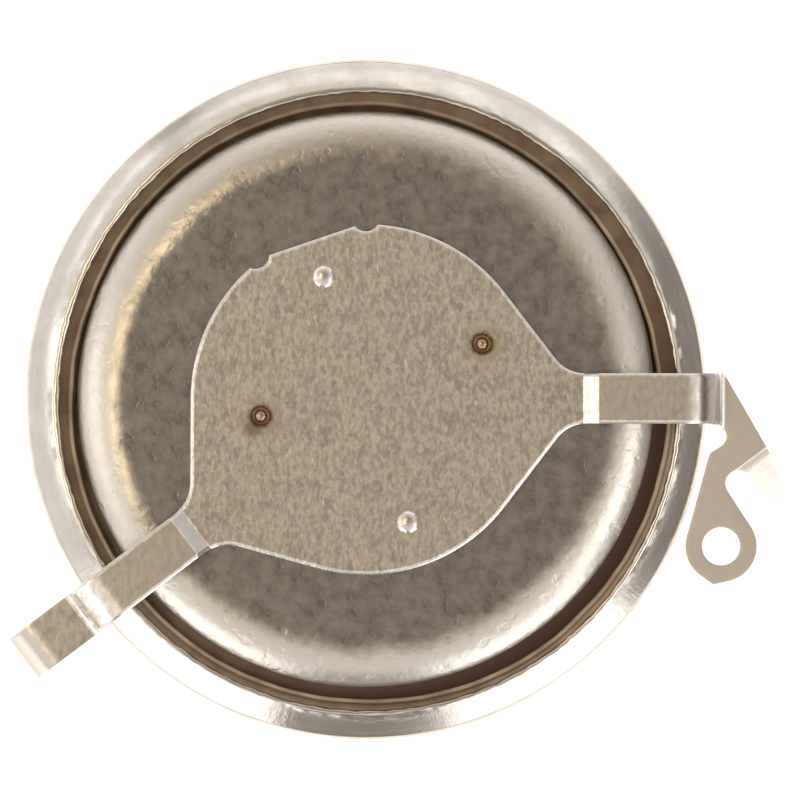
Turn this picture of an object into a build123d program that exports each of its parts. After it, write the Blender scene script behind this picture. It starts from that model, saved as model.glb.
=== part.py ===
from build123d import *
from math import asin, atan2, cos, degrees, hypot, radians, sin, tan
import os

os.makedirs("parts", exist_ok=True)

# A coin capacitor for a watch, lying on its can with the negative side up, and the
# folded strip that is spot welded to its cap. Millimetres. The origin is the middle of
# the can's flat bottom, +Z runs up the cell's axis and +X along the terminal arm.
# Radii of sheet metal bends are given at the middle of the sheet.

# Cell
cell_diameter = 9.5
cell_height = 2.05
sheet = 0.16                    # steel of both shells

# Positive can: pressed cup with its mouth rolled inwards
rim_step = 0.20                 # the cap stands this far above the rim
can_corner = 0.22
crimp_radius = 0.30
crimp_sweep = 94                # degrees that the rim is rolled through

# Gasket: moulded ring between the two shells
gasket_wall = 0.24              # between the can's wall and the cap's skirt
gasket_floor = 0.30             # under the skirt
gasket_roof = 0.30              # between the cap's ledge and the rolled rim
gasket_lip = 0.20               # inside the skirt
gasket_lip_height = 0.30        # above the skirt's lower edge
gasket_mouth = 0.16             # gap between the cap's wall and the visible lip
gasket_mouth_shift = 0.09       # the lip was squeezed out of centre
gasket_mouth_angle = -40
gasket_fall = 0.06              # drop of the lip from the rim to its mouth

# Negative cap: pressed cover with a wall, a ledge and a skirt
cap_ledge = 0.36                # how far the skirt stands outside the wall
cap_shoulder = 0.45
ledge_corner = 0.14
skirt_corner = 0.12

# Stack of carbon discs, on the can's floor
collector_thickness = 0.04
positive_electrode_thickness = 0.75
positive_electrode_gap = 0.30   # to the gasket
separator_thickness = 0.10
separator_gap = 0.05            # to the gasket
negative_electrode_gap = 0.06   # to the bend in the cap

# Contact strip: one stamped and folded sheet
strip_thickness = 0.10
plate_radius = 2.44
gusset_angle = 37.5             # where each gusset leaves the plate, from its arm
arm_rise = 0.15                 # step up from the plate to the arm
arm_drop = 0.75                 # step down from the arm to the lower level
rise_run = 0.13
rise_lower_bend = 0.09
rise_upper_bend = 0.10
drop_lead = 0.35                # both arms turn down this far inside the can's wall
drop_angle = 83
drop_upper_bend = 0.45
drop_lower_bend = 0.15

# Terminal arm, along +X
terminal_arm_width = 0.70
terminal_arm_shift = 0.015      # its middle lies a little off the cell's axis
terminal_arm_root = 3.03
terminal_gusset_fillet = 0.50

# Foot arm
foot_arm_angle = 217.2
foot_arm_width = 0.68
foot_arm_root = 2.97
foot_gusset_fillet = 0.55
foot_flat = 0.82                # from the can's wall to the tip's bend
foot_tip_bend = 0.43
foot_tip_angle = 60

# Stub where the strip was cut from its carrier, between two round notches
stub_angle = 108.75
stub_cut = 0.105                # depth of the sheared flat in the plate
notch_radius = 0.20
notch_rise = 0.10               # how far outside the plate the notches are centred
notch_spread = 18.7

# Ring terminal on the lower level. Its places are measured from the point where the
# terminal arm crosses the can's wall: along the arm, then across it.
outer_edge_angle = 60           # slant of its outer edge
outer_edge_start = 0.245        # where that edge leaves the arm's upper edge
ring_place = (0.202, -2.046)
ring_radius = 0.498
ring_hole_radius = 0.265
nib_angle = 258.4               # sheared corner at the ring's lower edge
nib_half_angle = 24
neck_angle = 74.6
shoulder_angle = 30
shoulder_rounding = 0.14
relief_place = (0.105, -0.508)
relief_radius = 0.174
slot_place = (0.446, -1.170)
slot_radius = 0.185

# Spring finger beside the ring
finger_angle = -53.5            # its direction, seen from above
finger_inner_edge_angle = -48.6
finger_length = 0.76            # seen from above
finger_slope = 35
finger_bend = 0.15
finger_tip_rounding = 0.14

# Spot welds, pressed into the plate
weld_radius = 0.155
weld_depth = 0.05
paired_weld = (0.586, -1.708)   # and its opposite across the axis
upper_weld = (1.618, 0.776)
lower_weld = (-1.465, -0.229)


def polar(distance, angle):
    """The point at a distance and a direction in degrees from the origin."""
    return (distance * cos(radians(angle)), distance * sin(radians(angle)))


def along(start, distance, angle):
    """The point reached from a start over a distance in a direction in degrees."""
    x, y = polar(distance, angle)
    return (start[0] + x, start[1] + y)


def crossing(first, first_angle, second, second_angle):
    """The point where two lines meet, each given by a point and a direction in degrees."""
    dx, dy = polar(1, first_angle)
    ex, ey = polar(1, second_angle)
    gap_x = second[0] - first[0]
    gap_y = second[1] - first[1]
    distance = (gap_x * ey - gap_y * ex) / (dx * ey - dy * ex)
    return (first[0] + distance * dx, first[1] + distance * dy)


def fillet_length(radius, angle):
    """The length that a bend takes from each side of a corner that turns by an angle."""
    return radius * tan(radians(angle / 2))


def side_view(start, angle):
    """The upright plane that runs from a point in a direction, both seen from above."""
    return Plane(
        origin=(start[0], start[1], 0),
        x_dir=polar(1, angle) + (0,),
        z_dir=polar(1, angle - 90) + (0,),
    )


# Positive can
can_radius = cell_diameter / 2
can_middle = can_radius - sheet / 2
rim_height = cell_height - rim_step
crimp_centre = (can_middle - crimp_radius, rim_height - sheet / 2 - crimp_radius)
with BuildPart() as positive_can:
    with BuildSketch(Plane.XZ):
        with BuildLine():
            Line((0, sheet / 2), (can_middle - can_corner, sheet / 2))
            CenterArc((can_middle - can_corner, sheet / 2 + can_corner), can_corner, -90, 90)
            Line((can_middle, sheet / 2 + can_corner), (can_middle, crimp_centre[1]))
            CenterArc(crimp_centre, crimp_radius, 0, crimp_sweep)
        trace(line_width=sheet)
    revolve(axis=Axis.Z)
positive_can.part.label = "positive_can"

# Negative cap
skirt_radius = can_radius - sheet - gasket_wall
cap_radius = skirt_radius - cap_ledge
ledge_height = rim_height - sheet - gasket_roof
skirt_end = sheet + gasket_floor
with BuildPart() as negative_cap:
    with BuildSketch(Plane.XZ):
        with BuildLine():
            FilletPolyline(
                (0, cell_height - sheet / 2),
                (cap_radius - sheet / 2, cell_height - sheet / 2),
                (cap_radius - sheet / 2, ledge_height - sheet / 2),
                (skirt_radius - sheet / 2, ledge_height - sheet / 2),
                (skirt_radius - sheet / 2, skirt_end),
                radius=(cap_shoulder, ledge_corner, skirt_corner),
            )
        trace(line_width=sheet)
    revolve(axis=Axis.Z)
negative_cap.part.label = "negative_cap"

# Gasket: a rough ring, trimmed by the two shells that squeeze it
can_inside = can_radius - sheet
gasket_top = rim_height - sheet
gasket_mouth_edge = cap_radius + ledge_corner - sheet / 2
gasket_inside = skirt_radius - sheet - gasket_lip
gasket_lip_top = skirt_end + gasket_lip_height
skirt_middle = skirt_radius - sheet / 2
with BuildPart() as gasket:
    with BuildSketch(Plane.XZ):
        with BuildLine():
            Polyline(
                (gasket_inside, sheet),
                (can_inside, sheet),
                (can_inside, gasket_top),
                (crimp_centre[0], gasket_top),
                (gasket_mouth_edge, gasket_top - gasket_fall),
                (gasket_mouth_edge, ledge_height - sheet / 2),
                (skirt_middle, ledge_height - sheet / 2),
                (skirt_middle, gasket_lip_top),
                (gasket_inside, gasket_lip_top),
                close=True,
            )
        make_face()
    revolve(axis=Axis.Z)
    add(negative_cap.part, mode=Mode.SUBTRACT)
    add(positive_can.part, mode=Mode.SUBTRACT)
    with BuildSketch(Plane.XY.offset(ledge_height)):
        with Locations(polar(gasket_mouth_shift, gasket_mouth_angle)):
            Circle(cap_radius + gasket_mouth)
    extrude(amount=gasket_top - ledge_height, mode=Mode.SUBTRACT)
gasket.part.label = "gasket"

# Discs between the shells, from the can's floor up. A thin conductive layer joins each
# carbon disc to its shell.
positive_electrode_radius = gasket_inside - positive_electrode_gap
positive_electrode_base = sheet + collector_thickness
separator_base = positive_electrode_base + positive_electrode_thickness
negative_electrode_base = separator_base + separator_thickness
negative_collector_base = cell_height - sheet - collector_thickness
negative_electrode_radius = cap_radius - sheet / 2 - cap_shoulder - negative_electrode_gap

with BuildPart() as positive_collector:
    with BuildSketch(Plane.XY.offset(sheet)):
        Circle(positive_electrode_radius)
    extrude(amount=collector_thickness)
positive_collector.part.label = "positive_collector"

with BuildPart() as positive_electrode:
    with BuildSketch(Plane.XY.offset(positive_electrode_base)):
        Circle(positive_electrode_radius)
    extrude(amount=positive_electrode_thickness)
positive_electrode.part.label = "positive_electrode"

with BuildPart() as separator:
    with BuildSketch(Plane.XY.offset(separator_base)):
        Circle(gasket_inside - separator_gap)
    extrude(amount=separator_thickness)
separator.part.label = "separator"

with BuildPart() as negative_electrode:
    with BuildSketch(Plane.XY.offset(negative_electrode_base)):
        Circle(negative_electrode_radius)
    extrude(amount=negative_collector_base - negative_electrode_base)
negative_electrode.part.label = "negative_electrode"

with BuildPart() as negative_collector:
    with BuildSketch(Plane.XY.offset(negative_collector_base)):
        Circle(negative_electrode_radius)
    extrude(amount=collector_thickness)
negative_collector.part.label = "negative_collector"

# Heights of the strip's levels, at the middle of its sheet
plate_middle = cell_height + strip_thickness / 2
arm_middle = plate_middle + arm_rise
lower_middle = arm_middle - arm_drop
plate_top = cell_height + strip_thickness

# Where the arms come down: upper corner, lower corner and start of the lower level
drop_corner = can_radius - drop_lead + fillet_length(drop_upper_bend, drop_angle)
drop_foot = crossing((drop_corner, arm_middle), -drop_angle, (0, lower_middle), 0)[0]
lower_start = drop_foot + fillet_length(drop_lower_bend, drop_angle)


def arm_fold(root, end):
    """Middle line of an arm from the side: flat plate, step up, step down, lower level."""
    FilletPolyline(
        (plate_radius, plate_middle),
        (root, plate_middle),
        (root + rise_run, arm_middle),
        (drop_corner, arm_middle),
        (drop_foot, lower_middle),
        (end, lower_middle),
        radius=(rise_lower_bend, rise_upper_bend, drop_upper_bend, drop_lower_bend),
    )


def gusset_corner(arm_edge):
    """Where the tangent from the plate meets the edge of an arm that runs along X."""
    return crossing(polar(plate_radius, gusset_angle), gusset_angle - 90, (0, arm_edge), 0)


def off_wall(place):
    """A place of the ring terminal, measured from the cell's axis."""
    return (can_radius + place[0], place[1])


def below(point):
    """The same point on the other side of the X axis."""
    return (point[0], -point[1])


def on_foot_arm(point):
    """A point given along the foot arm, turned to where that arm lies."""
    x, y = polar(point[0], foot_arm_angle)
    return along((x, y), point[1], foot_arm_angle + 90)


def nearest(sketch, points):
    """The corner of a sketch that lies nearest to each point."""
    return [sketch.vertices().sort_by_distance(point)[0] for point in points]


# Outline of the terminal arm, seen from above
terminal_top_edge = terminal_arm_shift + terminal_arm_width / 2
terminal_bottom_edge = terminal_arm_shift - terminal_arm_width / 2
terminal_top_corner = gusset_corner(terminal_top_edge)
terminal_bottom_corner = below(gusset_corner(-terminal_bottom_edge))
outer_corner = (can_radius + outer_edge_start, terminal_top_edge)
outer_edge_bend = crossing(outer_corner, -outer_edge_angle, (lower_start, 0), 90)
relief = off_wall(relief_place)
relief_side = (lower_start, relief[1])

# Outline of the foot arm, as if it ran along X
foot_edge = foot_arm_width / 2
foot_corner = gusset_corner(foot_edge)
foot_flat_end = can_radius + foot_flat
foot_reach = foot_flat_end + foot_tip_bend + strip_thickness

# Outline of the ring terminal and the finger
ring = off_wall(ring_place)
slot = off_wall(slot_place)
fold_inner_end = along(slot, slot_radius, finger_angle + 180)
fold_outer_end = crossing(fold_inner_end, finger_angle + 90, outer_corner, -outer_edge_angle)
finger_inner_start = along(slot, slot_radius, finger_inner_edge_angle + 90)
finger_corner = (fillet_length(finger_bend, finger_slope), lower_middle)
finger_sloping_length = (finger_length - finger_corner[0]) / cos(radians(finger_slope))
finger_far = along(fold_outer_end, 2 * finger_length, -outer_edge_angle)
finger_near = along(finger_inner_start, 2 * finger_length, finger_inner_edge_angle)
neck_foot = along(ring, ring_radius, neck_angle + 90)
relief_touch = along(relief, relief_radius, shoulder_angle - 90)
shoulder_corner = crossing(neck_foot, neck_angle, relief_touch, shoulder_angle)
nib_tip = along(ring, ring_radius / cos(radians(nib_half_angle)), nib_angle)

# Notches beside the stub
notch_distance = plate_radius + notch_rise
stub_distance = plate_radius - stub_cut

# One straight edge touches the round of the slot and the round of the ring
to_ring_x = ring[0] - slot[0]
to_ring_y = ring[1] - slot[1]
slot_edge_turn = asin((slot_radius + ring_radius) / hypot(to_ring_x, to_ring_y))
slot_edge_angle = degrees(atan2(to_ring_y, to_ring_x) + slot_edge_turn)
slot_side = along(slot, slot_radius, slot_edge_angle - 90)
ring_side = along(ring, ring_radius, slot_edge_angle + 90)

with BuildPart() as contact_strip:
    # The sheet with its folds, wider than the finished strip
    with BuildSketch(Plane.XY.offset(cell_height)):
        Circle(hypot(*foot_corner))
    extrude(amount=strip_thickness)
    with BuildSketch(side_view((0, 0), 0)):
        with BuildLine():
            arm_fold(terminal_arm_root, lower_start + strip_thickness)
        trace(line_width=strip_thickness)
    extrude(amount=terminal_arm_width, both=True)
    with BuildSketch(side_view((0, 0), foot_arm_angle)):
        with BuildLine():
            arm_fold(foot_arm_root, foot_flat_end)
            CenterArc((foot_flat_end, lower_middle - foot_tip_bend), foot_tip_bend, 90, -foot_tip_angle)
        trace(line_width=strip_thickness)
    extrude(amount=foot_arm_width, both=True)
    with BuildSketch(side_view(fold_inner_end, finger_angle)):
        with BuildLine():
            FilletPolyline(
                (-strip_thickness, lower_middle),
                finger_corner,
                along(finger_corner, finger_sloping_length, -finger_slope),
                radius=finger_bend,
            )
        trace(line_width=strip_thickness)
    extrude(amount=-finger_length)

    # The stamped outline, which trims it
    with BuildSketch(Plane.XY) as outline:
        Circle(plate_radius)
        with BuildLine():
            Polyline(
                polar(plate_radius, gusset_angle),
                terminal_top_corner,
                outer_corner,
                outer_edge_bend,
                relief_side,
                relief,
                (relief[0], terminal_bottom_edge),
                terminal_bottom_corner,
                polar(plate_radius, -gusset_angle),
                close=True,
            )
        make_face()
        with BuildLine():
            Polyline(
                on_foot_arm(polar(plate_radius, gusset_angle)),
                on_foot_arm(foot_corner),
                on_foot_arm((foot_reach, foot_edge)),
                on_foot_arm((foot_reach, -foot_edge)),
                on_foot_arm(below(foot_corner)),
                on_foot_arm(polar(plate_radius, -gusset_angle)),
                close=True,
            )
        make_face()
        fillet(
            nearest(outline, (terminal_top_corner, terminal_bottom_corner)),
            terminal_gusset_fillet,
        )
        fillet(
            nearest(outline, (on_foot_arm(foot_corner), on_foot_arm(below(foot_corner)))),
            foot_gusset_fillet,
        )
        with BuildLine():
            Polyline(
                fold_inner_end,
                fold_outer_end,
                finger_far,
                finger_near,
                finger_inner_start,
                slot,
                close=True,
            )
        make_face()
        with Locations(slot):
            Circle(slot_radius, mode=Mode.SUBTRACT)
        with Locations(relief):
            Circle(relief_radius, mode=Mode.SUBTRACT)
        with PolarLocations(notch_distance, 2, stub_angle - notch_spread, 2 * notch_spread, endpoint=True):
            Circle(notch_radius, mode=Mode.SUBTRACT)
        with Locations(Location(polar(stub_distance, stub_angle), stub_angle)):
            Rectangle(
                notch_distance - stub_distance,
                2 * polar(notch_distance, notch_spread)[1],
                align=(Align.MIN, Align.CENTER),
                mode=Mode.SUBTRACT,
            )
    extrude(amount=arm_middle + strip_thickness, mode=Mode.INTERSECT)
    finger_way = Axis(fold_inner_end + (0,), polar(1, finger_angle) + (0,))
    small_edges = contact_strip.edges().filter_by(lambda edge: edge.length < 1.5 * strip_thickness)
    fillet(small_edges.sort_by(finger_way)[-2:], finger_tip_rounding)

    # The ring terminal, on the lower level
    with BuildSketch(Plane.XY.offset(lower_middle - strip_thickness / 2)) as terminal:
        with BuildLine():
            Polyline(
                outer_edge_bend,
                fold_outer_end,
                fold_inner_end,
                slot,
                slot_side,
                ring_side,
                ring,
                neck_foot,
                shoulder_corner,
                relief_touch,
                relief_side,
                close=True,
            )
        make_face()
        fillet(nearest(terminal, (shoulder_corner,)), shoulder_rounding)
        with BuildLine():
            Polyline(
                ring,
                along(ring, ring_radius, nib_angle - nib_half_angle),
                nib_tip,
                along(ring, ring_radius, nib_angle + nib_half_angle),
                close=True,
            )
        make_face()
        with Locations(ring):
            Circle(ring_radius)
            Circle(ring_hole_radius, mode=Mode.SUBTRACT)
        with Locations(slot):
            Circle(slot_radius, mode=Mode.SUBTRACT)
        with Locations(relief):
            Circle(relief_radius, mode=Mode.SUBTRACT)
    extrude(amount=strip_thickness)

    # Spot welds: shallow round dents
    weld_ball = (weld_radius**2 + weld_depth**2) / (2 * weld_depth)
    opposite_weld = (-paired_weld[0], -paired_weld[1])
    for place in (paired_weld, opposite_weld, upper_weld, lower_weld):
        with Locations((place[0], place[1], plate_top - weld_depth + weld_ball)):
            Sphere(weld_ball, mode=Mode.SUBTRACT)
contact_strip.part.label = "contact_strip"

export_step(positive_can.part, "parts/positive_can.step")
export_step(gasket.part, "parts/gasket.step")
export_step(negative_cap.part, "parts/negative_cap.step")
export_step(contact_strip.part, "parts/contact_strip.step")
export_step(positive_collector.part, "parts/positive_collector.step")
export_step(positive_electrode.part, "parts/positive_electrode.step")
export_step(separator.part, "parts/separator.step")
export_step(negative_electrode.part, "parts/negative_electrode.step")
export_step(negative_collector.part, "parts/negative_collector.step")
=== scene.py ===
from math import asin, atan2, cos, degrees, hypot, pi, radians, sin

import bmesh
import bpy
from mathutils import Matrix, Vector, noise


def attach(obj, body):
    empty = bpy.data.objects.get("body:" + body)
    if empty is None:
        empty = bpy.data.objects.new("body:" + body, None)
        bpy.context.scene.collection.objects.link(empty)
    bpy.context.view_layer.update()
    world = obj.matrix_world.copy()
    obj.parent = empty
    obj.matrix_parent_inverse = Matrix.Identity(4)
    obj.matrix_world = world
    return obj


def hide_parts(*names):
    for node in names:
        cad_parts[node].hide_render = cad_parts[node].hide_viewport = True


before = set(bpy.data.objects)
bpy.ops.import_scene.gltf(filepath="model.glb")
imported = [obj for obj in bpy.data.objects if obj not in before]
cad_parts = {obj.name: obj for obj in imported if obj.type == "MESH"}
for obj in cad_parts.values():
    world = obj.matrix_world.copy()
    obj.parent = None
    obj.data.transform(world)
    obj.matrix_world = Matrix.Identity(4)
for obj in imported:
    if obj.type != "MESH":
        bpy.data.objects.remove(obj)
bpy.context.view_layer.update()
scene = bpy.context.scene
scene.view_settings.view_transform = "Standard"

# Camera: straight above the cell, a long way off, with the terminal arm to the right.
# One pixel of the 800 x 800 picture is 0.01395 mm at the level of the ring terminal.
camera_distance = 0.30
camera_target = Vector((0.000474, -0.000006, 0.0015))
picture_width = 0.01116
camera_data = bpy.data.cameras.new("camera")
camera_data.sensor_width = 36
camera_data.lens = camera_data.sensor_width * camera_distance / picture_width
camera_data.clip_start = 0.01
camera_data.clip_end = 2
camera = bpy.data.objects.new("camera", camera_data)
camera.location = camera_target + Vector((0, 0, camera_distance))
scene.collection.objects.link(camera)
scene.camera = camera

# Positive can: nickel plated steel cup, deep drawn, its mouth rolled inwards over the
# gasket. The rolling left its cut lip a little out of round and out of centre.
mm = 0.001
shell_sheet = 0.16              # of the can and of the cap
can_radius = 4.75
can_inner = can_radius - shell_sheet
rim_height = 1.85
under_rim = rim_height - shell_sheet
around = 320                    # steps of a full turn


def turned(corners):
    """A ring or cup turned from its closed section: (radius, height, rounding, steps) in mm."""
    bm = bmesh.new()
    verts = [bm.verts.new((radius * mm, 0, height * mm)) for radius, height, *_ in corners]
    for first, second in zip(verts, verts[1:] + verts[:1]):
        bm.edges.new((first, second))
    for (*_, rounding, steps), vert in zip(corners, verts):
        if rounding:
            bmesh.ops.bevel(
                bm, geom=[vert], offset=rounding * mm, offset_type="OFFSET", segments=steps,
                profile=0.5, affect="VERTICES", material=-1,
            )
    bmesh.ops.spin(
        bm, geom=bm.verts[:] + bm.edges[:], cent=(0, 0, 0), axis=(0, 0, 1), angle=2 * pi,
        steps=around, use_merge=True, use_duplicate=False,
    )
    bmesh.ops.remove_doubles(bm, verts=bm.verts[:], dist=1e-8)
    bmesh.ops.recalc_face_normals(bm, faces=bm.faces[:])
    return bm


def finished(name, bm, material, slot, *nodes, crease=40):
    """The mesh as a piece in the place of CAD nodes, smooth up to the crease angle in degrees."""
    mesh = bpy.data.meshes.new(name)
    bm.to_mesh(mesh)
    bm.free()
    mesh.shade_smooth()
    mesh.set_sharp_from_angle(angle=radians(crease))
    mesh.materials.append(material)
    piece = bpy.data.objects.new(name, mesh)
    scene.collection.objects.link(piece)
    normals = piece.modifiers.new("normals", "WEIGHTED_NORMAL")
    normals.keep_sharp = True
    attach(piece, "root")
    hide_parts(*nodes)
    return piece


def new_material(name):
    """A material with its shader, ready for the nodes that feed the shader."""
    material = bpy.data.materials.new(name)
    material.use_nodes = True
    return material, material.node_tree, material.node_tree.nodes["Principled BSDF"]


def add(tree, kind, **settings):
    """A node with its settings. An input's name takes a value, or the output to link to it."""
    node = tree.nodes.new(kind)
    for key, value in settings.items():
        if key not in node.inputs:
            setattr(node, key, value)
        elif isinstance(value, bpy.types.NodeSocket):
            tree.links.new(value, node.inputs[key])
        else:
            node.inputs[key].default_value = value
    return node


def maths(tree, operation, *values, **settings):
    """The result of a math node, from constants and other nodes' outputs."""
    node = add(tree, "ShaderNodeMath", operation=operation, **settings)
    for socket, value in zip(node.inputs, values):
        if isinstance(value, bpy.types.NodeSocket):
            tree.links.new(value, socket)
        else:
            socket.default_value = value
    return node.outputs["Value"]


def span(tree, output, low, high, least=0):
    """A mask that rises from the least value to 1 while an output goes from low to high."""
    node = add(tree, "ShaderNodeMapRange", Value=output)
    node.inputs["From Min"].default_value = low
    node.inputs["From Max"].default_value = high
    node.inputs["To Min"].default_value = least
    return node.outputs["Result"]


def blended(tree, share, first, second):
    """Two colours mixed by a mask. Each colour is a triple or another node's output."""
    node = add(tree, "ShaderNodeMix", data_type="RGBA", Factor=share)
    for key, colour in (("A", first), ("B", second)):
        if isinstance(colour, tuple):
            node.inputs[key].default_value = (*colour, 1)
        else:
            tree.links.new(colour, node.inputs[key])
    return node.outputs["Result"]


def flattened(tree, output, factor):
    """A position times a factor, without its height."""
    node = add(tree, "ShaderNodeVectorMath", operation="MULTIPLY", Vector=output)
    node.inputs[1].default_value = (factor, factor, 0)
    return node.outputs["Vector"]


# Rolled metal: fine grain, pits with bright flecks and slow clouds, one group for all of
# the steel. The grain may be drawn out in one direction by the vector that it is given.
metal = bpy.data.node_groups.new("rolled_metal", "ShaderNodeTree")
for socket, kind, value in (
    ("Vector", "NodeSocketVector", None),
    ("Grain Size", "NodeSocketFloat", 9000.0),
    ("Cloud Size", "NodeSocketFloat", 900.0),
    ("Pit Size", "NodeSocketFloat", 6000.0),
    ("Colour", "NodeSocketColor", (0.6, 0.55, 0.48, 1)),
    ("Dark Colour", "NodeSocketColor", (0.4, 0.36, 0.3, 1)),
    ("Roughness", "NodeSocketFloat", 0.3),
    ("Pits", "NodeSocketFloat", 0.5),
):
    made = metal.interface.new_socket(socket, in_out="INPUT", socket_type=kind)
    if value is not None:
        made.default_value = value
for socket, kind in (
    ("Colour", "NodeSocketColor"),
    ("Roughness", "NodeSocketFloat"),
    ("Height", "NodeSocketFloat"),
):
    metal.interface.new_socket(socket, in_out="OUTPUT", socket_type=kind)
source = add(metal, "NodeGroupInput")
grain = add(metal, "ShaderNodeTexNoise", Detail=1.5, Roughness=0.5)
clouds = add(metal, "ShaderNodeTexNoise", Detail=4.0, Roughness=0.6)
pits = add(metal, "ShaderNodeTexNoise", Detail=2.0, Roughness=0.5)
for texture, size in ((grain, "Grain Size"), (clouds, "Cloud Size"), (pits, "Pit Size")):
    metal.links.new(source.outputs["Vector"], texture.inputs["Vector"])
    metal.links.new(source.outputs[size], texture.inputs["Scale"])
cloud_mask = span(metal, clouds.outputs["Fac"], 0.35, 0.65)
pit_mask = span(metal, pits.outputs["Fac"], 0.60, 0.70)
pit_depth = maths(metal, "MULTIPLY", pit_mask, source.outputs["Pits"])
add(
    metal, "NodeGroupOutput",
    Colour=blended(metal, cloud_mask, source.outputs["Colour"], source.outputs["Dark Colour"]),
    Roughness=maths(metal, "MULTIPLY_ADD", cloud_mask, 0.06, source.outputs["Roughness"]),
    Height=maths(metal, "SUBTRACT", grain.outputs["Fac"], pit_depth),
)


def steel(name, colour, dark, roughness, grain_size, cloud_size, pit_size, pit_share, bump, depth):
    """A steel finish made with the rolled metal group. Depth is the relief in mm."""
    material, tree, shader = new_material(name)
    place = add(tree, "ShaderNodeTexCoord")
    group = add(tree, "ShaderNodeGroup", node_tree=metal, Vector=place.outputs["Object"])
    for key, value in (
        ("Grain Size", grain_size),
        ("Cloud Size", cloud_size),
        ("Pit Size", pit_size),
        ("Colour", (*colour, 1)),
        ("Dark Colour", (*dark, 1)),
        ("Roughness", roughness),
        ("Pits", pit_share),
    ):
        group.inputs[key].default_value = value
    dents = add(
        tree, "ShaderNodeBump", Strength=bump, Distance=depth * mm, Height=group.outputs["Height"],
    )
    tree.links.new(group.outputs["Colour"], shader.inputs["Base Color"])
    tree.links.new(group.outputs["Roughness"], shader.inputs["Roughness"])
    tree.links.new(dents.outputs["Normal"], shader.inputs["Normal"])
    shader.inputs["Metallic"].default_value = 1
    return material, tree, shader, group, dents


can_material, can_tree, can_shader, _, can_dents = steel(
    "can_steel", colour=(0.68, 0.65, 0.615), dark=(0.57, 0.54, 0.50), roughness=0.16,
    grain_size=12000, cloud_size=1600, pit_size=5000, pit_share=0.3, bump=0.5, depth=0.003,
)

# Drawing streaks: they run straight down the wall and the rim, so that only the direction
# from the axis counts.
can_place = add(can_tree, "ShaderNodeTexCoord")
can_round = add(
    can_tree, "ShaderNodeVectorMath", operation="NORMALIZE",
    Vector=flattened(can_tree, can_place.outputs["Object"], 1),
)
can_streaks = add(
    can_tree, "ShaderNodeTexNoise", Vector=can_round.outputs["Vector"], Scale=130.0, Detail=4.0,
    Roughness=0.7,
)
can_streak_bump = add(
    can_tree, "ShaderNodeBump", Strength=0.09, Distance=0.012 * mm,
    Height=can_streaks.outputs["Fac"], Normal=can_dents.outputs["Normal"],
)
can_tree.links.new(can_streak_bump.outputs["Normal"], can_shader.inputs["Normal"])
can = turned((
    (0, 0, 0, 0),
    (can_radius, 0, 0.30, 8),
    (can_radius, 1.44, 0.03, 3),
    (4.722, 1.492, 0.04, 4),
    (4.56, 1.64, 0.12, 4),
    (4.295, rim_height, 0.13, 12),
    (4.305, under_rim, 0.012, 2),
    (can_inner, under_rim, 0.215, 10),
    (can_inner, shell_sheet, 0.14, 6),
    (0, shell_sheet, 0, 0),
))

# The lip is shifted as a whole, and its cut edge is rough.
shift_start = 4.60
shift_width = 0.25
lip_shift = Vector((0.024, -0.031, 0))
burr_start = 4.39
burr_height = 0.016
for vert in can.verts:
    out = hypot(vert.co.x, vert.co.y) / mm
    if out < shift_start and vert.co.z > 1.6 * mm:
        share = min(1, (shift_start - out) / shift_width)
        vert.co += lip_shift * mm * share * share
        if out < burr_start:
            burr = noise.noise(vert.co * 9000) + 0.6 * noise.noise(vert.co * 30000)
            outwards = Vector((vert.co.x, vert.co.y, 0)).normalized()
            vert.co += outwards * burr * burr_height * mm
finished("positive_can_shell", can, can_material, "can_steel", "positive_can")


# Stack inside: a carbon disc on each side of the separator, and a thin conductive layer
# between each disc and its shell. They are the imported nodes, with their own finish.
def disc_finish(name, colour, fleck, roughness, grit_size, bump):
    """A dull, grainy material."""
    material, tree, shader = new_material(name)
    place = add(tree, "ShaderNodeTexCoord")
    grit = add(
        tree, "ShaderNodeTexNoise", Vector=place.outputs["Object"], Scale=grit_size, Detail=6.0,
        Roughness=0.7,
    )
    dents = add(
        tree, "ShaderNodeBump", Strength=bump, Distance=0.01 * mm, Height=grit.outputs["Fac"],
    )
    tint = blended(tree, grit.outputs["Fac"], colour, fleck)
    tree.links.new(tint, shader.inputs["Base Color"])
    tree.links.new(dents.outputs["Normal"], shader.inputs["Normal"])
    shader.inputs["Roughness"].default_value = roughness
    return material


carbon_material = disc_finish(
    "activated_carbon", colour=(0.02, 0.02, 0.02), fleck=(0.06, 0.06, 0.06), roughness=0.9,
    grit_size=9000, bump=0.8,
)
graphite_material = disc_finish(
    "graphite_layer", colour=(0.05, 0.05, 0.055), fleck=(0.13, 0.13, 0.14), roughness=0.45,
    grit_size=5000, bump=0.3,
)
paper_material = disc_finish(
    "separator_paper", colour=(0.80, 0.78, 0.73), fleck=(0.90, 0.88, 0.84), roughness=0.85,
    grit_size=3500, bump=0.6,
)
for node, inner_material in (
    ("positive_collector", graphite_material),
    ("positive_electrode", carbon_material),
    ("separator", paper_material),
    ("negative_electrode", carbon_material),
    ("negative_collector", graphite_material),
):
    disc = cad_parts[node]
    disc.data.materials.clear()
    disc.data.materials.append(inner_material)

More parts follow.
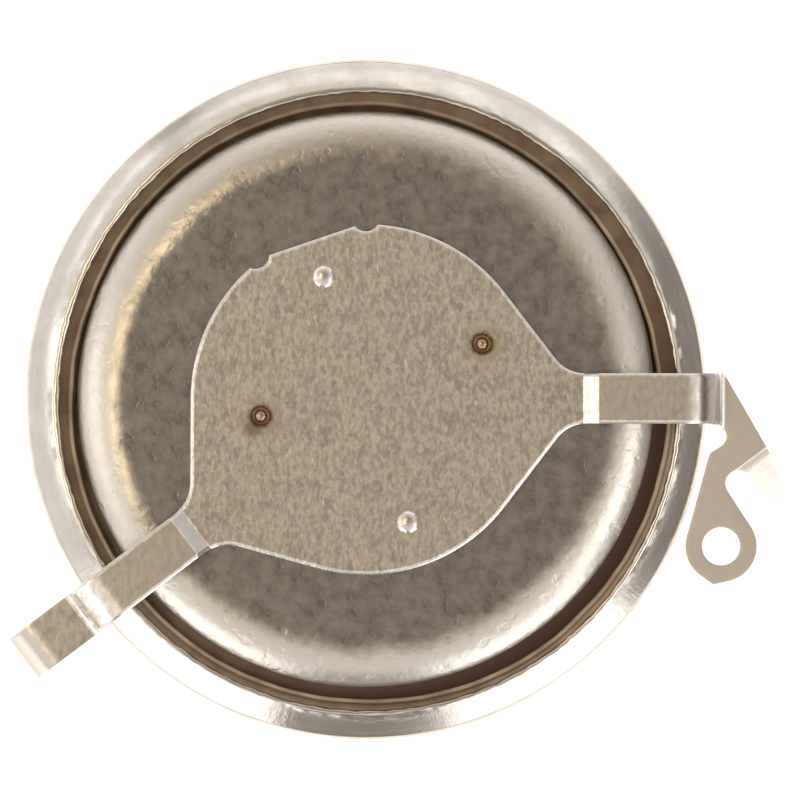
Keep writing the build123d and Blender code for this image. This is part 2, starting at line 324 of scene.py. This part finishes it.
# Gasket: moulded amber plastic ring that keeps the two shells apart. Only its lip shows,
# squeezed up between the can's rolled rim and the cap's wall, a little out of centre.
cap_radius = 4.02
ledge_radius = 4.35             # of the cap's hidden ledge, which the gasket holds
ledge_height = 1.39
skirt_inner = ledge_radius - shell_sheet
skirt_foot = 0.46
gasket_inner = 3.99
gasket_gap = 0.001
mouth_radius = 4.15
gasket_material, gasket_tree, gasket_shader = new_material("gasket_plastic")
gasket_place = add(gasket_tree, "ShaderNodeTexCoord")
gasket_clouds = add(
    gasket_tree, "ShaderNodeTexNoise", Vector=gasket_place.outputs["Object"], Scale=2500.0,
    Detail=4.0,
)

# It is a cloudy amber all round, with painted shade that makes it darkest at the lower right,
# under the rolled rim.
gasket_shade_side = add(
    gasket_tree, "ShaderNodeVectorMath", operation="DOT_PRODUCT",
    Vector=gasket_place.outputs["Object"],
)
gasket_shade_side.inputs[1].default_value = (-170, 170, 0)
gasket_paler = maths(
    gasket_tree, "MULTIPLY",
    span(gasket_tree, gasket_shade_side.outputs["Value"], -0.75, -0.15),
    span(gasket_tree, gasket_clouds.outputs["Fac"], 0.30, 0.60, least=0.25),
)
gasket_tint = blended(gasket_tree, gasket_paler, (0.092, 0.040, 0.028), (0.185, 0.132, 0.082))

# The squeezed edges of its lip, and the gasket just under the can's lip, get a painted pale
# highlight. The mesh says where, in a vertex layer.
gasket_edge = add(gasket_tree, "ShaderNodeAttribute", attribute_name="lip_highlight")
gasket_lip_highlight = maths(
    gasket_tree, "MULTIPLY", gasket_edge.outputs["Fac"], gasket_clouds.outputs["Fac"],
    use_clamp=True,
)
gasket_colour = blended(gasket_tree, gasket_lip_highlight, gasket_tint, (0.62, 0.52, 0.40))
gasket_bump = add(
    gasket_tree, "ShaderNodeBump", Strength=0.3, Distance=0.006 * mm,
    Height=gasket_clouds.outputs["Fac"],
)
gasket_tree.links.new(gasket_colour, gasket_shader.inputs["Base Color"])
gasket_tree.links.new(gasket_bump.outputs["Normal"], gasket_shader.inputs["Normal"])
gasket_shader.inputs["Roughness"].default_value = 0.25
gasket = turned((
    (gasket_inner, shell_sheet, 0.03, 2),
    (can_inner, shell_sheet, 0.14, 6),
    (can_inner, under_rim, 0.215, 10),
    (4.37, under_rim, 0.05, 4),
    (4.215, 1.665, 0, 0),
    (mouth_radius, 1.651, 0.04, 5),
    (mouth_radius, 1.46, 0.02, 2),
    (cap_radius + gasket_gap, 1.50, 0, 0),
    (cap_radius + gasket_gap, ledge_height, 0, 0),
    (ledge_radius, ledge_height, 0.19, 6),
    (ledge_radius, skirt_foot, 0, 0),
    (skirt_inner, skirt_foot, 0, 0),
    (skirt_inner, 0.76, 0.03, 2),
    (gasket_inner, 0.76, 0.03, 2),
))

# Where the lip ends, in mm from the axis, at azimuths clockwise from the terminal arm.
mouth = (
    (0, 4.13), (3.5, 4.20), (60, 4.215), (90, 4.18), (120, 4.17), (150, 4.13), (180, 4.09),
    (200, 4.065), (235, 4.09), (270, 4.10), (300, 4.06), (330, 4.055), (356.5, 4.07),
    (360, 4.13),
)
lip_top = 1.615
# Painted highlight: full along the lower and right side of the lip's edges, weaker at the top.
lip_highlight = gasket.verts.layers.float.new("lip_highlight")
for vert in gasket.verts:
    out = hypot(vert.co.x, vert.co.y) / mm
    azimuth = degrees(atan2(-vert.co.y, vert.co.x)) % 360
    if vert.co.z > lip_top * mm and 4.14 < out < 4.205:
        vert[lip_highlight] = 0.5 if 220 < azimuth < 320 else 1.2
    elif vert.co.z > lip_top * mm and out > 4.30 and (azimuth < 140 or azimuth > 358):
        vert[lip_highlight] = 0.9
    if 1.38 * mm < vert.co.z and 4.05 < out < 4.23:
        for (start, near), (end, far) in zip(mouth, mouth[1:]):
            if start <= azimuth <= end:
                edge = near + (far - near) * (azimuth - start) / (end - start)
        edge += 0.012 * noise.noise(vert.co * 2500)
        vert.co.xy *= 1 + (edge - mouth_radius) / out
finished("gasket_ring", gasket, gasket_material, "gasket_plastic", "gasket")

# Negative cap: pressed steel cover, dull and pitted on its flat top, and paler in colour on its
# outer shoulder, with a ragged border. Its wall, ledge and skirt go down into the gasket.
cap_top = 2.05
cap_material, cap_tree, cap_shader, cap_group, _ = steel(
    "cap_steel", colour=(0.385, 0.37, 0.375), dark=(0.215, 0.204, 0.205), roughness=0.30,
    grain_size=9000, cloud_size=5200, pit_size=5200, pit_share=0.6, bump=0.8, depth=0.006,
)
cap_place = add(cap_tree, "ShaderNodeTexCoord")
cap_out = add(
    cap_tree, "ShaderNodeVectorMath", operation="LENGTH",
    Vector=flattened(cap_tree, cap_place.outputs["Object"], 1000),
)
cap_blots = add(
    cap_tree, "ShaderNodeTexNoise", Vector=cap_place.outputs["Object"], Scale=3200.0, Detail=5.0,
    Roughness=0.6,
)
cap_border = maths(
    cap_tree, "MULTIPLY_ADD", cap_blots.outputs["Fac"], 0.55, cap_out.outputs["Value"],
)
cap_pale_shoulder = span(cap_tree, cap_border, 3.62, 3.86)
cap_colour = blended(cap_tree, cap_pale_shoulder, cap_group.outputs["Colour"], (0.60, 0.565, 0.525))
cap_tree.links.new(cap_colour, cap_shader.inputs["Base Color"])
cap = turned((
    (0, cap_top, 0, 0),
    (3.753, cap_top, 0.373, 24),
    (cap_radius, 1.732, 0.03, 4),
    (cap_radius, ledge_height, 0.015, 2),
    (ledge_radius, ledge_height, 0.20, 6),
    (ledge_radius, skirt_foot, 0, 0),
    (skirt_inner, skirt_foot, 0, 0),
    (skirt_inner, ledge_height - shell_sheet, 0.04, 3),
    (3.83, ledge_height - shell_sheet, 0.22, 6),
    (3.83, cap_top - shell_sheet, 0.37, 8),
    (0, cap_top - shell_sheet, 0, 0),
))
finished("negative_cap_shell", cap, cap_material, "cap_steel", "negative_cap")

# Contact strip: one sheet of nickel plated steel, 0.1 mm thick, stamped out, folded and
# spot welded to the cap. The sheet is drawn flat, then its folds are pressed in.
sheet = 0.10
plate_level = 2.15
lower_level = 1.55
terminal_edge = -0.508          # y of the terminal arm's edge, which the ring hangs on
ring_centre = (4.952, -2.046)
ring_hole = 0.265
welds = ((0.586, -1.708), (-0.586, 1.708), (1.618, 0.776), (-1.465, -0.229))
weld_radius = 0.155


def draw_outline(bm, start, moves):
    """A closed outline from straight runs (x, y) and arcs (centre x, centre y, degrees)."""
    pen = bm.verts.new((start[0] * mm, start[1] * mm, 0))
    for move in moves:
        if len(move) == 2:
            end = bm.verts.new((move[0] * mm, move[1] * mm, 0))
            bm.edges.new((pen, end))
            pen = end
        else:
            centre = Vector((move[0] * mm, move[1] * mm, 0))
            run = (pen.co - centre).length * radians(abs(move[2]))
            swept = bmesh.ops.spin(
                bm, geom=[pen], cent=centre, axis=(0, 0, 1), angle=radians(move[2]),
                steps=max(3, round(min(abs(move[2]) / 3, run / (0.06 * mm)))),
            )
            pen = swept["geom_last"][0]


strip = bmesh.new()
draw_outline(strip, (1.9358, -1.4854), (
    (2.6684, -0.5306), (3.0651, -0.8350, -52.5),
    (4.8364, -0.3350), (4.8550, -0.5080, -156.15),
    (4.8438, -0.7154), (4.9138, -0.8366, 44.6),
    (4.4719, -1.9138), (*ring_centre, 69.8),
    (4.8424, -2.5800), (5.0589, -2.5324), (*ring_centre, 110.72),
    (5.0411, -1.2711), (5.1960, -1.1700, -171.72),
    (5.6520, -1.4074), (5.7570, -1.3148, 85.1),
    (5.8726, -1.4033), (5.7893, -1.2908, 83.5),
    (4.9950, 0.3650), (3.0421, 0.3650), (3.0421, 0.8650, -52.5),
    (1.9358, 1.4854), (0, 0, 48.56),
    (-0.0022, 2.5400, -108.56), (-1.3446, 2.0094), (-1.5445, 2.0165, -108.56),
    (0, 0, 48.26), (-2.4461, -1.1597), (-2.9961, -1.1568, -52.5),
    (-4.9818, -3.3471), (-4.5701, -3.8885),
    (-2.2524, -2.1365), (-1.9199, -2.5746, -52.5),
    (-0.6439, -2.3535), (0, 0, 67.8),
))
bmesh.ops.create_circle(
    strip, cap_ends=False, radius=ring_hole * mm, segments=72,
    matrix=Matrix.Translation((ring_centre[0] * mm, ring_centre[1] * mm, 0)),
)
for x, y in welds:
    bmesh.ops.create_circle(
        strip, cap_ends=True, radius=weld_radius * mm, segments=48,
        matrix=Matrix.Translation((x * mm, y * mm, 0)),
    )
bmesh.ops.remove_doubles(strip, verts=strip.verts[:], dist=0.0005 * mm)
bmesh.ops.triangle_fill(strip, use_beauty=True, edges=strip.edges[:], normal=(0, 0, 1))
for face in strip.faces:
    at = face.calc_center_median() / mm
    face.material_index = int(any(hypot(at.x - x, at.y - y) < weld_radius for x, y in welds))

# The punch leaves the upper edges rounded. Three narrow bands follow each edge, and each
# line between them gets the depth, in mm, to which it sinks once the sheet is folded.
edge_drop = 0.027
drop = strip.verts.layers.float.new("drop")
way = strip.verts.layers.float_vector.new("way")
bmesh.ops.recalc_face_normals(strip, faces=strip.faces[:])
bmesh.ops.dissolve_limit(
    strip, angle_limit=radians(0.3), verts=strip.verts[:], edges=strip.edges[:],
    delimit={"MATERIAL"},
)
inner_region = strip.faces[:]
for width in (0.012, 0.022, 0.016):
    bmesh.ops.inset_region(
        strip, faces=inner_region, thickness=width * mm, use_boundary=True,
        use_even_offset=True,
    )
ring = {vert for vert in strip.verts if vert.is_boundary}
seen = set(ring)
for depth in (edge_drop, 0.0169, 0.0052):
    for vert in ring:
        vert[drop] = depth
    ring = {edge.other_vert(vert) for vert in ring for edge in vert.link_edges} - seen
    seen |= ring
bmesh.ops.triangulate(strip, faces=[face for face in strip.faces if len(face.verts) > 4])


def folded_line(start, moves):
    """The upper side of a folded sheet, seen from its edge.

    It starts at (distance, height), with runs (length,) and bends (radius, degrees).
    """
    distance, height = start
    heading = 0
    line = [(distance, height)]
    for move in moves:
        if len(move) == 1:
            distance += move[0] * cos(heading)
            height += move[0] * sin(heading)
            line.append((distance, height))
            continue
        radius, turn = move[0], radians(move[1])
        steps = max(4, round(abs(move[1]) / 4))
        side = 1 if turn > 0 else -1
        for step in range(steps):
            ahead = heading + turn / steps
            distance += side * radius * (sin(ahead) - sin(heading))
            height -= side * radius * (cos(ahead) - cos(heading))
            heading = ahead
            line.append((distance, height))
    return line


def fold(bm, origin, angle, start, line, part):
    """Cuts the flat sheet at each crease of a folded line, and lifts it to that line.

    The line goes from the origin at the angle. Only faces beyond the start are folded, and
    only where part, which is asked with the middle of a face in mm, says so.
    """
    origin = Vector((*origin, 0)) * mm
    ahead = Vector((cos(radians(angle)), sin(radians(angle)), 0))
    inside = bm.faces[:]
    for distance, _ in [(start, 0)] + line:
        edges = {edge for face in inside for edge in face.edges}
        verts = {vert for face in inside for vert in face.verts}
        bmesh.ops.bisect_plane(
            bm, geom=[*inside, *edges, *verts], dist=1e-8,
            plane_co=origin + ahead * distance * mm, plane_no=ahead,
        )
        inside = [
            face for face in bm.faces
            if (face.calc_center_median() - origin).dot(ahead) > start * mm
            and part(face.calc_center_median() / mm)
        ]
    for vert in {vert for face in inside for vert in face.verts}:
        along = (vert.co - origin).dot(ahead) / mm
        for (near, low), (far, high) in zip(line, line[1:]):
            if near - 1e-5 <= along <= far + 1e-5:
                share = (along - near) / (far - near)
                vert.co.z = (low + (high - low) * share) * mm


# The plate lies on the cap, and everything beyond the terminal arm on the lower level. Both
# arms step up from the plate and bend down at their ends, and the foot's tip turns down.
arms_start = 2.75
terminal_run = 1.1558
foot_angle = 217.2
foot_arm_run = 1.2158
foot_run = 0.5471
foot_tip_overlap = 0.02
bmesh.ops.bisect_plane(
    strip, geom=strip.faces[:] + strip.edges[:] + strip.verts[:], dist=1e-8,
    plane_co=(0, terminal_edge * mm, 0), plane_no=(0, 1, 0),
)
for vert in strip.verts:
    terminal = vert.co.x > 4.3 * mm and vert.co.y < (terminal_edge + 0.0001) * mm
    vert.co.z = (lower_level if terminal else plate_level) * mm
step_up = ((0.015, 35), (0.2473,), (0.03, -35))
step_down = ((0.50, -83), (0.2248,), (0.10, 83))
terminal_line = folded_line(
    (3.02, plate_level), (*step_up, (terminal_run,), *step_down, (1.6,)),
)
fold(strip, (0, 0), 0, arms_start, terminal_line, lambda at: at.y > terminal_edge)
foot_line = folded_line(
    (2.96, plate_level),
    (*step_up, (foot_arm_run,), *step_down, (foot_run,), (0.48, -60)),
)
foot_line[-1] = (foot_line[-1][0] + foot_tip_overlap, foot_line[-1][1] - foot_tip_overlap)
fold(strip, (0, 0), foot_angle, arms_start, foot_line, lambda at: True)

# The finger slopes down beside the ring, with a groove pressed in at its fold.
finger_angle = -53.5
finger_foot = Vector((5.0860, -1.0213, 0))
finger_way = Vector((cos(radians(finger_angle)), sin(radians(finger_angle)), 0))
finger_line = folded_line(
    (0, lower_level), ((0.03, -28), (0.03, 18), (0.05,), (0.22, -19), (1.2,)),
)
fold(
    strip, finger_foot.xy, finger_angle, 0, finger_line,
    lambda at: at.x > 4.9 and (at - finger_foot).cross(finger_way).z < 0,
)
bmesh.ops.recalc_face_normals(strip, faces=strip.faces[:])
if sum(face.normal.z * face.calc_area() for face in strip.faces) < 0:
    bmesh.ops.reverse_faces(strip, faces=strip.faces[:])
strip.normal_update()
for vert in strip.verts:
    vert[way] = vert.normal
for vert in strip.verts:
    if vert.co.z < 1.7 * mm:
        vert[drop] *= 0.1       # the lower level keeps sharp edges
    vert.co -= vert[way] * vert[drop] * mm
strip.normal_update()

# The sheet gets its thickness downwards.
below = bmesh.ops.extrude_face_region(strip, geom=strip.faces[:], use_keep_orig=True)["geom"]
for vert in below:
    if isinstance(vert, bmesh.types.BMVert):
        vert.co += vert[way] * (vert[drop] - sheet) * mm
bmesh.ops.recalc_face_normals(strip, faces=strip.faces[:])


# Spot welds: two raised, shiny beads, and two burnt craters with a small bead inside.
def dome(radius, height):
    """The insets and lifts, in mm, that raise a flat round face to a dome."""
    sphere = (radius ** 2 + height ** 2) / (2 * height)
    slopes = [asin(radius / sphere) * (1 - step / 8) for step in range(8)] + [0.06]
    return [
        (sphere * (sin(steep) - sin(flat)), sphere * (cos(flat) - cos(steep)))
        for steep, flat in zip(slopes, slopes[1:])
    ]


bead = [(0.003, 0), *dome(0.150, 0.060)]
crater = [(0.012, 0), (0.020, -0.022), (0.026, -0.010), (0.014, 0), *dome(0.080, 0.040)]
for (x, y), rings in zip(welds, (bead, bead, crater, crater)):
    spots = []
    for face in strip.faces:
        at = face.calc_center_median() / mm
        if face.material_index == 1 and face.normal.z > 0.9 and hypot(at.x - x, at.y - y) < 0.15:
            spots.append(face)
    spots = bmesh.ops.dissolve_faces(strip, faces=spots)["region"]
    for inset, lift in rings:
        bmesh.ops.inset_individual(strip, faces=spots, thickness=inset * mm, depth=lift * mm)
for face in strip.faces:
    face.material_index = 0

strip_material, strip_tree, strip_shader, strip_group, strip_dents = steel(
    "strip_steel", colour=(0.89, 0.86, 0.82), dark=(0.50, 0.475, 0.445), roughness=0.25,
    grain_size=11000, cloud_size=9500, pit_size=7000, pit_share=0.25, bump=1.0, depth=0.0040,
)
strip_place = add(strip_tree, "ShaderNodeTexCoord")
strip_grain = add(
    strip_tree, "ShaderNodeMapping", Vector=strip_place.outputs["Object"],
    Rotation=(0, 0, radians(-22)), Scale=(1.4, 0.75, 1),
)
strip_tree.links.new(strip_grain.outputs["Vector"], strip_group.inputs["Vector"])

# Round mark: a spot with a soft, ragged border, from its centre and its radii in mm. It is
# 1 inside the near radius and 0 outside the far one.
spot = bpy.data.node_groups.new("round_mark", "ShaderNodeTree")
for socket, kind in (
    ("Vector", "NodeSocketVector"),
    ("Centre", "NodeSocketVector"),
    ("Near", "NodeSocketFloat"),
    ("Far", "NodeSocketFloat"),
):
    spot.interface.new_socket(socket, in_out="INPUT", socket_type=kind)
spot.interface.new_socket("Mask", in_out="OUTPUT", socket_type="NodeSocketFloat")
spot_in = add(spot, "NodeGroupInput")
spot_far = add(
    spot, "ShaderNodeVectorMath", operation="DISTANCE",
    Vector=flattened(spot, spot_in.outputs["Vector"], 1000),
)
spot.links.new(spot_in.outputs["Centre"], spot_far.inputs[1])
spot_noise = add(
    spot, "ShaderNodeTexNoise", Vector=spot_in.outputs["Vector"], Scale=14000.0, Detail=3.0,
)
spot_edge = maths(
    spot, "MULTIPLY_ADD", spot_noise.outputs["Fac"], 0.08, spot_far.outputs["Value"],
)
spot_mask = add(
    spot, "ShaderNodeMapRange", interpolation_type="SMOOTHSTEP", Value=spot_edge,
)
spot_mask.inputs["To Min"].default_value = 1
spot_mask.inputs["To Max"].default_value = 0
spot.links.new(spot_in.outputs["Near"], spot_mask.inputs["From Min"])
spot.links.new(spot_in.outputs["Far"], spot_mask.inputs["From Max"])
add(spot, "NodeGroupOutput", Mask=spot_mask.outputs["Result"])


def mark(x, y, near, far):
    """The mask of a round mark on the strip."""
    node = add(
        strip_tree, "ShaderNodeGroup", node_tree=spot, Vector=strip_place.outputs["Object"],
        Centre=(x, y, 0), Near=near, Far=far,
    )
    return node.outputs["Mask"]


def between(output, low, high):
    """A mask that rises from 0 to 1 between two places on the strip, in mm along an axis."""
    return span(strip_tree, output, low * mm, high * mm)


def both(first, second):
    """The mask where two masks of the strip overlap."""
    return maths(strip_tree, "MULTIPLY", first, second)


# The rounded edges are duller, and the ring, the finger and the foot on the lower level brighter,
# than the plate. The steep outer side of the terminal arm's bend gets a painted dark reflection,
# the step of the foot arm painted shade, and the plate's grain painted glints and shade.
strip_split = add(strip_tree, "ShaderNodeSeparateXYZ", Vector=strip_place.outputs["Object"])
strip_x, strip_z = strip_split.outputs["X"], strip_split.outputs["Z"]
strip_edge = add(strip_tree, "ShaderNodeAttribute", attribute_name="drop")
strip_rounded = span(strip_tree, strip_edge.outputs["Fac"], 0.003, 0.012)
# Painted dark reflection on the steep outer side of the terminal arm's bend.
strip_bend_painted_shade = both(between(strip_x, 4.62, 4.67), between(strip_z, 1.62, 1.72))
strip_low_end = both(between(strip_x, 0, 1), between(strip_z, 1.60, 1.56))
strip_bent_down = between(strip_z, 1.545, 1.50)
strip_foot_tip = both(strip_bent_down, between(strip_x, -3.9, -4.0))
# Painted shade on the slope where the foot arm steps up from the plate.
strip_step_painted_shade = both(
    mark(-2.445, -1.855, 0.42, 0.50),
    both(between(strip_z, 2.155, 2.165), between(strip_z, 2.295, 2.285)),
)
strip_flecks = add(
    strip_tree, "ShaderNodeTexNoise", Vector=strip_grain.outputs["Vector"], Scale=15500.0,
    Detail=1.0,
)
strip_on_plate = both(between(strip_z, 2.11, 2.12), between(strip_z, 2.18, 2.16))
# The plate's pebbled grain is real. Its pale flecks are painted glints and its dark flecks painted
# shade.
strip_painted_glints = both(strip_on_plate, span(strip_tree, strip_flecks.outputs["Fac"], 0.56, 0.66))
strip_painted_grain_shade = both(strip_on_plate, span(strip_tree, strip_flecks.outputs["Fac"], 0.44, 0.34))

# From the first to the last, each colour covers its share of what is there, where its mask
# is. The last nine are the marks of the spot welds: rust and soot, burnt rings and beads.
lower_bead, upper_bead, right_crater, left_crater = welds
strip_colour = strip_group.outputs["Colour"]
for mask, colour, share in (
    # Painted glints and painted shade on the plate's grain.
    (strip_painted_glints, (0.98, 0.95, 0.90), 0.5),
    (strip_painted_grain_shade, (0.42, 0.395, 0.365), 0.4),
    (between(strip_z, 2.16, 2.20), (0.77, 0.74, 0.69), 0.3),
    # Painted shade on the foot arm's step.
    (strip_step_painted_shade, (0.50, 0.47, 0.46), 0.8),
    (strip_low_end, (0.98, 0.955, 0.95), 0.75),
    (strip_rounded, (0.60, 0.57, 0.545), 0.85),
    # Painted dark reflection on the terminal arm's bend.
    (strip_bend_painted_shade, (0.22, 0.19, 0.17), 0.9),
    (strip_bent_down, (0.72, 0.69, 0.65), 1.0),
    (strip_foot_tip, (0.56, 0.52, 0.48), 1.0),
    (mark(1.64, 0.75, 0.20, 0.40), (0.60, 0.50, 0.36), 0.55),
    (mark(-1.44, -0.26, 0.20, 0.42), (0.60, 0.50, 0.36), 0.55),
    (mark(-1.58, -0.40, 0.10, 0.22), (0.30, 0.22, 0.13), 0.65),
    (mark(*right_crater, 0.17, 0.24), (0.16, 0.09, 0.05), 0.92),
    (mark(*left_crater, 0.17, 0.24), (0.16, 0.09, 0.05), 0.92),
    (mark(*right_crater, 0.08, 0.13), (0.55, 0.36, 0.26), 0.8),
    (mark(*left_crater, 0.08, 0.13), (0.50, 0.34, 0.26), 0.8),
    (mark(*lower_bead, 0.13, 0.20), (0.66, 0.60, 0.59), 1.0),
    (mark(*upper_bead, 0.13, 0.20), (0.66, 0.60, 0.59), 1.0),
):
    covered = maths(strip_tree, "MULTIPLY", mask, share)
    strip_colour = blended(strip_tree, covered, strip_colour, colour)
strip_tree.links.new(strip_colour, strip_shader.inputs["Base Color"])

# The rolled grain is coarse on the plate, and fine on the arms and on the bright weld beads.
plate_middle = plate_level - edge_drop / 2
strip_coarse = maths(strip_tree, "COMPARE", strip_z, plate_middle * mm, 0.045 * mm)
strip_relief = span(strip_tree, strip_coarse, 0, 1, least=0.07)
strip_height = maths(strip_tree, "MULTIPLY", strip_group.outputs["Height"], strip_relief)
strip_tree.links.new(strip_height, strip_dents.inputs["Height"])
finished("contact_strip_sheet", strip, strip_material, "strip_steel", "contact_strip", crease=14)

# Floor: a plain white sheet under the cell, white to the camera and in the metal, that
# keeps the cell's soft shadow.
floor_mesh = bpy.data.meshes.new("floor")
plane = bmesh.new()
bmesh.ops.create_grid(plane, x_segments=1, y_segments=1, size=0.6)
plane.to_mesh(floor_mesh)
plane.free()
floor = bpy.data.objects.new("floor", floor_mesh)
scene.collection.objects.link(floor)
floor_material, floor_tree, floor_shader = new_material("floor_white")
floor_shader.inputs["Base Color"].default_value = (0.9, 0.9, 0.9, 1)
floor_shader.inputs["Roughness"].default_value = 0.8
floor_path = add(floor_tree, "ShaderNodeLightPath")
floor_mirrored = maths(
    floor_tree, "ADD", floor_path.outputs["Is Glossy Ray"],
    floor_path.outputs["Is Transmission Ray"],
)
floor_seen = maths(
    floor_tree, "ADD", floor_path.outputs["Is Camera Ray"], floor_mirrored, use_clamp=True,
)
floor_glow = maths(floor_tree, "MULTIPLY", floor_seen, 0.66)
floor_shader.inputs["Emission Color"].default_value = (1, 1, 1, 1)
floor_tree.links.new(floor_glow, floor_shader.inputs["Emission Strength"])
floor_mesh.materials.append(floor_material)

# Lamps: softboxes low around the cell, and a warm lamp high on the left. Azimuths run
# clockwise from the right, and sizes are in metres.
lamp_distance = 0.15
for name, azimuth, elevation, width, height, radiance, colour in (
    ("softbox_lower_left", 126, 11, 0.105, 0.085, 2.2, (1.0, 0.98, 0.94)),
    ("softbox_lower_right", 57, 11, 0.10, 0.085, 2.3, (1.0, 0.99, 0.97)),
    ("softbox_upper_left", 188, 9, 0.27, 0.062, 0.72, (1.0, 0.98, 0.97)),
    ("softbox_top", 280, 9, 0.25, 0.062, 0.50, (1.0, 0.98, 0.98)),
    ("softbox_left", 174, 28, 0.10, 0.055, 1.15, (1.0, 0.94, 0.85)),
    ("softbox_right", 22, 31, 0.075, 0.05, 2.2, (1.0, 0.97, 0.92)),
    ("lamp_warm", 195, 65, 0.10, 0.034, 2.9, (1.0, 0.80, 0.45)),
):
    lamp = bpy.data.lights.new(name, "AREA")
    lamp.shape = "RECTANGLE"
    lamp.size = width
    lamp.size_y = height
    lamp.energy = radiance * pi * width * height
    lamp.color = colour
    item = bpy.data.objects.new(name, lamp)
    turn, rise = radians(-azimuth), radians(elevation)
    towards = Vector((cos(turn) * cos(rise), sin(turn) * cos(rise), sin(rise)))
    item.location = towards * lamp_distance + Vector((0, 0, camera_target.z))
    item.rotation_euler = towards.to_track_quat("Z", "Y").to_euler()
    scene.collection.objects.link(item)

# Room: pale walls under a warm, darker ceiling, white to the camera. The metal sees it
# with a little white added, and towards the back of the room the ceiling comes lower.
world = bpy.data.worlds.new("studio")
scene.world = world
world.use_nodes = True
sky = world.node_tree
backdrop = sky.nodes["Background"]
sky_place = add(sky, "ShaderNodeTexCoord")
sky_split = add(sky, "ShaderNodeSeparateXYZ", Vector=sky_place.outputs["Generated"])
sky_back = maths(sky, "MULTIPLY", sky_split.outputs["Y"], 0.28)
sky_height = maths(sky, "ADD", maths(sky, "MAXIMUM", sky_back, -0.06), sky_split.outputs["Z"])
sky_ramp = add(sky, "ShaderNodeValToRGB", Fac=sky_height)
stops = sky_ramp.color_ramp.elements
for index, (height, colour) in enumerate((
    (0.31, (0.15, 0.118, 0.092)),
    (0.42, (0.943, 0.909, 0.864)),
    (0.76, (0.977, 0.875, 0.750)),
    (0.93, (0.432, 0.341, 0.239)),
    (0.995, (0.307, 0.227, 0.142)),
)):
    stop = stops[index] if index < 2 else stops.new(height)
    stop.position = height
    stop.color = (*colour, 1)
sky_path = add(sky, "ShaderNodeLightPath")
sky_mirrored = maths(
    sky, "ADD", sky_path.outputs["Is Glossy Ray"], sky_path.outputs["Is Transmission Ray"],
    use_clamp=True,
)
sky_white = maths(
    sky, "MULTIPLY_ADD", sky_mirrored, 0.12, sky_path.outputs["Is Camera Ray"], use_clamp=True,
)
sky_seen = blended(sky, sky_white, sky_ramp.outputs["Color"], (1, 1, 1))
sky.links.new(sky_seen, backdrop.inputs["Color"])
